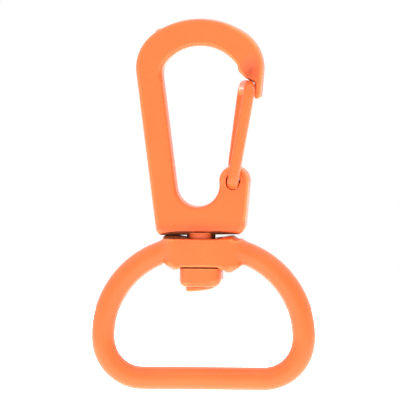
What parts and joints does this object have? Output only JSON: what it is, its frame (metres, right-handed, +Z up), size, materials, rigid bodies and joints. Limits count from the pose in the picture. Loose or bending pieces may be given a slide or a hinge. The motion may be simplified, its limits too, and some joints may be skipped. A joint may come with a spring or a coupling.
{
  "type": "swivel snap hook",
  "caption": "Painted swivel snap hook with a sprung wire gate and a D-shaped webbing ring that turns on a riveted stud.",
  "frame": {"origin": "crown seat: the highest point inside the hook, on the swivel axis, where the hook hangs", "axes": "+Z up along the swivel axis from the ring to the hook, +X towards the gate, +Y away from the viewer through the hook's thickness"},
  "size_m": [0.0318, 0.0074, 0.0529],
  "materials": {
    "hook_paint": "satin orange paint on a zinc casting",
    "ring_paint": "satin orange paint on a zinc casting",
    "wire_paint": "satin orange paint on steel spring wire",
    "stud_paint": "satin orange paint on steel, thin and uneven round the riveted end"
  },
  "bodies": {
    "hook": {"hook_body": "hook_paint", "swivel_stud": "stud_paint", "retaining_cap": "stud_paint"},
    "gate": {"gate_wire": "wire_paint"},
    "ring": {"swivel_ring": "ring_paint"}
  },
  "joints": [
    {"name": "ring_swivel", "type": "hinge", "parent": "hook", "child": "ring", "pos_m": [0, 0, -0.0295], "axis": [0, 0, 1], "continuous": true},
    {"name": "gate_hinge", "type": "hinge", "parent": "hook", "child": "gate", "pos_m": [0.00466, 0, -0.0196], "axis": [0, -1, 0], "range_deg": [0, 40], "stiffness_Nm_per_rad": 0.05, "springref_deg": -28.65}
  ]
}
